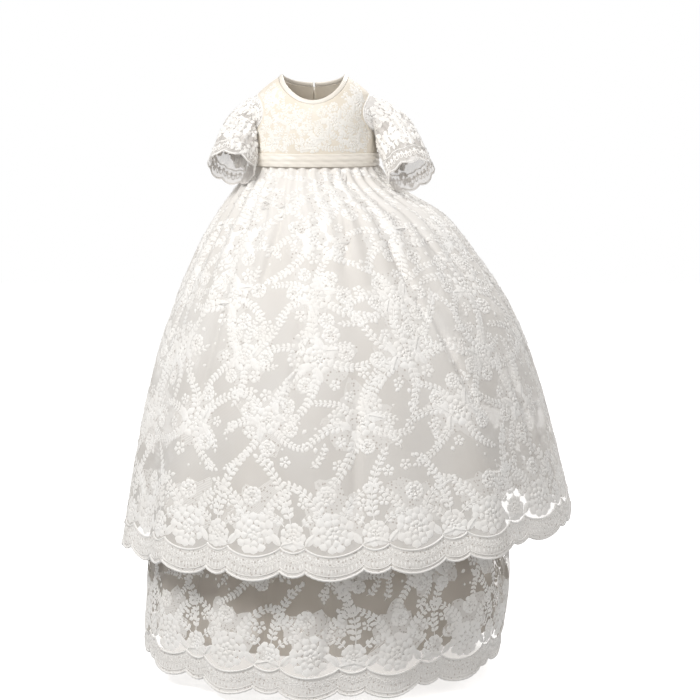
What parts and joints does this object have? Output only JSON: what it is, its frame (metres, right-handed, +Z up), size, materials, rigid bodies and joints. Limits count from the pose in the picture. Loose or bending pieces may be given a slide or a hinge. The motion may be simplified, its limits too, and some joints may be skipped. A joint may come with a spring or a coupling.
{
  "type": "christening gown",
  "caption": "Long ivory lace christening gown in its worn form: short bodice, elbow sleeves, satin waist sash, flared scalloped overskirt and a lace flounce below it, hollow throughout.",
  "frame": {"origin": "middle of the neck opening, at the height where the shoulder seams reach the neckline, where the wearer's shoulders hold the gown", "axes": "+Z up along the wearer's body, -Y towards the front of the gown, +X towards the wearer's left"},
  "size_m": [0.6515, 0.6074, 0.8496],
  "materials": {
    "lace": "ivory embroidered tulle, matt, with raised flower and leaf sprays",
    "bodice_lace": "ivory lace over an opaque cream ground",
    "satin": "cream satin ribbon with a soft sheen",
    "lining": "champagne satin lining",
    "pearl": "pearl shank button"
  },
  "bodies": {
    "root": {"bodice_front": "bodice_lace", "bodice_back_left": "bodice_lace", "bodice_back_right": "bodice_lace", "neck_binding": "satin", "back_placket": "bodice_lace", "back_button_1": "pearl", "back_button_2": "pearl", "back_button_3": "pearl", "waist_sash": "satin", "sleeve_left": "lace", "sleeve_right": "lace", "overskirt_front": "lace", "overskirt_back": "lace", "flounce_front": "lace", "flounce_back": "lace", "lining_front": "lining", "lining_back": "lining"}
  },
  "joints": []
}
